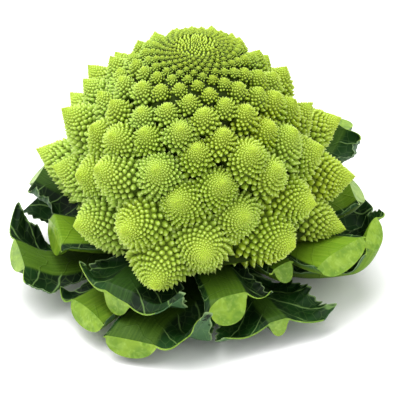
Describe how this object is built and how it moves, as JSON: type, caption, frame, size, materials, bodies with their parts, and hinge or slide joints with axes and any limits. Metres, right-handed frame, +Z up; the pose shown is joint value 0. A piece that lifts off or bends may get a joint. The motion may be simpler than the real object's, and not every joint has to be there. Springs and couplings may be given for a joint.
{
  "type": "romanesco head",
  "caption": "Whole romanesco head with spiralled cone-shaped florets on a cut stalk, in a nest of trimmed wrapper leaves; stands on its cut face as fresh produce in a kitchen or market scene",
  "frame": {"origin": "centre of the stalk's flat cut face, which lies on the surface that the head stands on", "axes": "+Z points up from the cut face through the apex; -Y is the front, the side seen in the picture; +X is to the right as seen from the front"},
  "size_m": [0.203, 0.1916, 0.1469],
  "materials": {
    "curd": "matte, beaded",
    "stalk": "satin, fibrous on the cut face",
    "leaf": "satin, veined"
  },
  "bodies": {
    "root": {"curd": "curd", "stalk": "stalk", "leaf_01": "leaf", "leaf_02": "leaf", "leaf_03": "leaf", "leaf_04": "leaf", "leaf_05": "leaf", "leaf_06": "leaf", "leaf_07": "leaf", "leaf_08": "leaf", "leaf_09": "leaf", "leaf_10": "leaf", "leaf_11": "leaf", "leaf_12": "leaf", "leaf_13": "leaf", "leaf_14": "leaf", "leaf_15": "leaf", "leaf_16": "leaf", "leaf_17": "leaf", "leaf_18": "leaf", "leaf_19": "leaf"}
  },
  "joints": []
}
